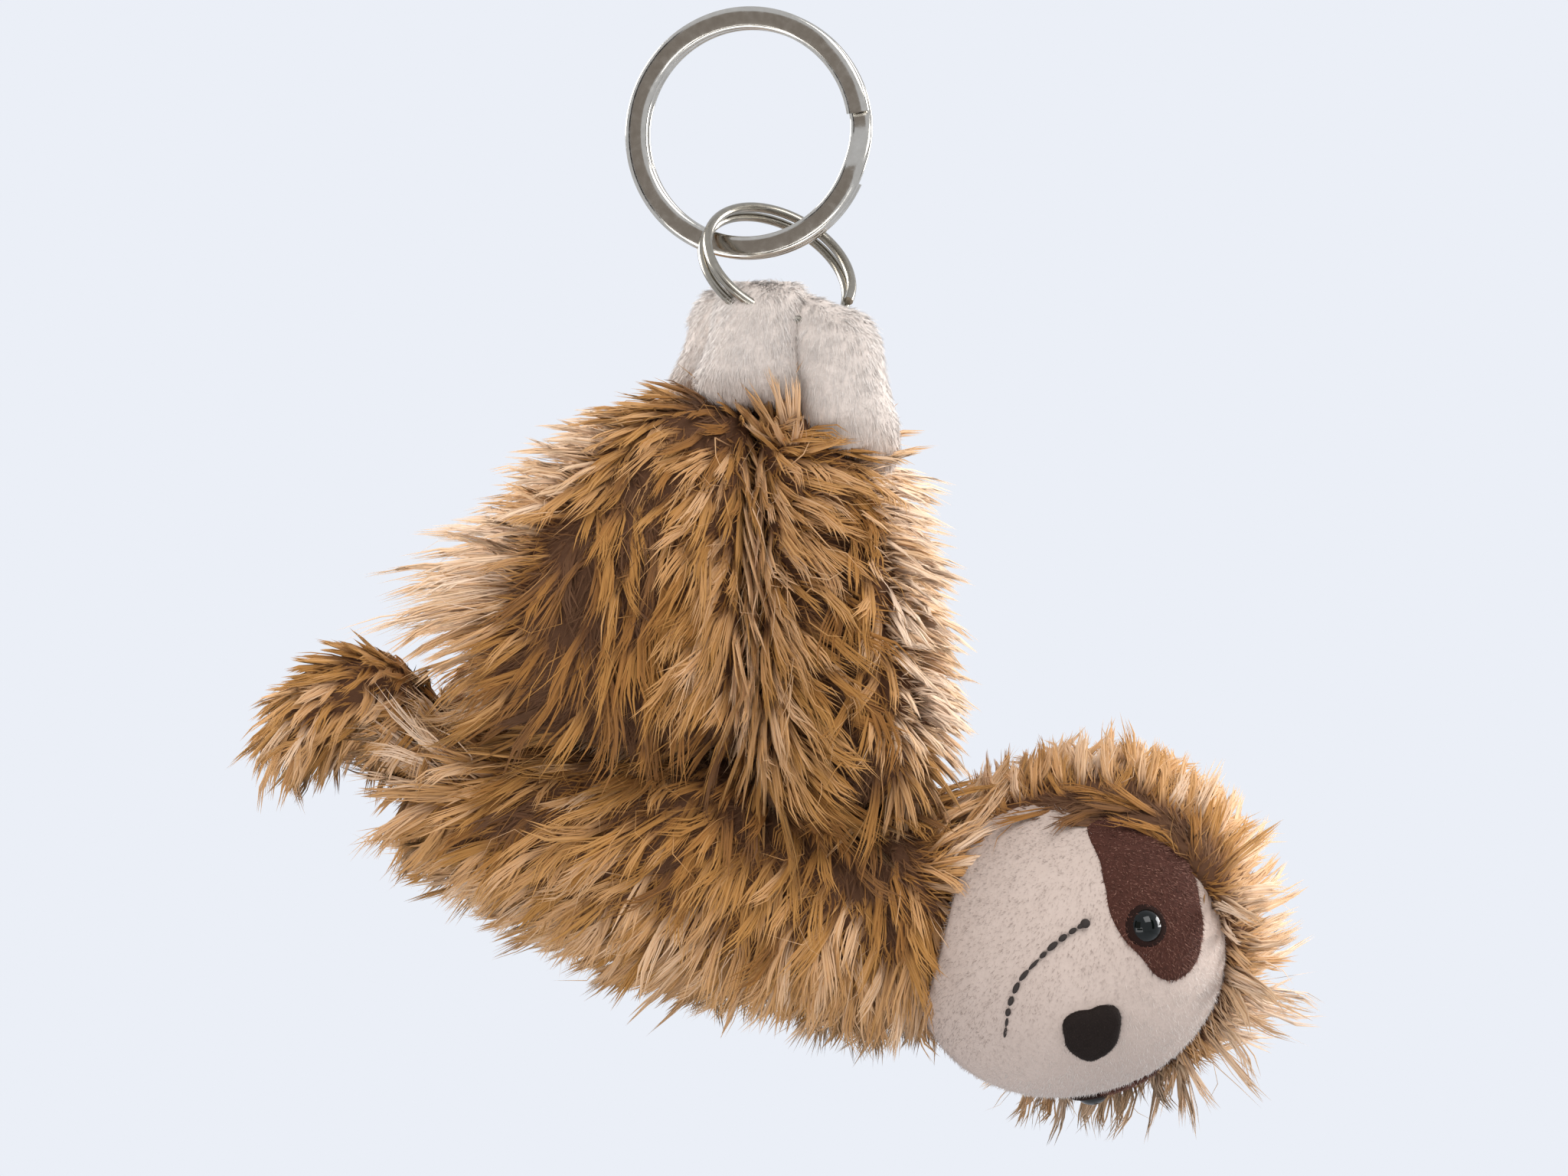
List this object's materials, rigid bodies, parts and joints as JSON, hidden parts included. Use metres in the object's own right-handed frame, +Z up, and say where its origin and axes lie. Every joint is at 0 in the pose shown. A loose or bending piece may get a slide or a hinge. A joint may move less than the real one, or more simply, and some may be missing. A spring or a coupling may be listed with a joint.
{
  "type": "plush sloth key ring",
  "caption": "Stuffed long-haired sloth that hangs by its gathered paws from a small split ring linked to a larger flat-wire key ring, its round head turned to one side.",
  "frame": {"origin": "the hook point, at the inside top of the key ring's hole, in the middle of the wire's two turns", "axes": "+Z up, against gravity as the toy hangs; +X to the viewer's right, from the rump towards the head; +Y away from the viewer"},
  "size_m": [0.1212, 0.0447, 0.1322],
  "materials": {
    "steel": "bright nickel plate on spring steel",
    "fur": "long golden-brown faux fur with a darker undercoat",
    "plush": "short cream plush",
    "patch": "brown short-pile applique with a stitched edge",
    "eye": "polished black",
    "felt": "matt black-brown embroidered felt",
    "washer": "plain moulded nylon",
    "fibre": "loose polyester fibre",
    "beads": "plastic pellets in a cloth pouch"
  },
  "bodies": {
    "key_ring": {"key_ring": "steel"},
    "small_ring": {"small_ring": "steel"},
    "plush": {"torso_cover": "fur", "torso_stuffing": "fibre", "bead_pouch": "beads", "near_leg_paw": "plush", "near_arm_paw": "plush", "far_leg_paw": "plush", "far_arm_paw": "plush", "near_leg_cover": "fur", "near_arm_cover": "fur", "far_leg_cover": "fur", "far_arm_cover": "fur", "near_leg_stuffing": "fibre", "near_arm_stuffing": "fibre", "far_leg_stuffing": "fibre", "far_arm_stuffing": "fibre"},
    "head": {"face_panel": "plush", "head_hood": "fur", "head_stuffing": "fibre", "right_eye_patch": "patch", "right_eye": "eye", "right_eye_washer": "washer", "left_eye_patch": "patch", "left_eye": "eye", "left_eye_washer": "washer", "nose": "felt"},
    "tail": {"tail": "fur"}
  },
  "joints": [
    {"name": "link_swing", "type": "hinge", "parent": "key_ring", "child": "small_ring", "pos_m": [0, 0, -0.02595], "axis": [0.9703, -0.2419, 0], "range_deg": [-60, 60]},
    {"name": "plush_swing", "type": "hinge", "parent": "small_ring", "child": "plush", "pos_m": [0.0034, -0.003, -0.0285], "axis": [0.3856, -0.6549, 0.6499], "range_deg": [-40, 40]},
    {"name": "head_turn", "type": "hinge", "parent": "plush", "child": "head", "pos_m": [0.0394, -0.002, -0.10917], "axis": [0.9703, 0, -0.2419], "range_deg": [-25, 25], "stiffness_Nm_per_rad": 0.02},
    {"name": "tail_bend", "type": "hinge", "parent": "plush", "child": "tail", "pos_m": [-0.0381, 0, -0.083], "axis": [0, 1, 0], "range_deg": [-20, 25], "stiffness_Nm_per_rad": 0.005}
  ]
}
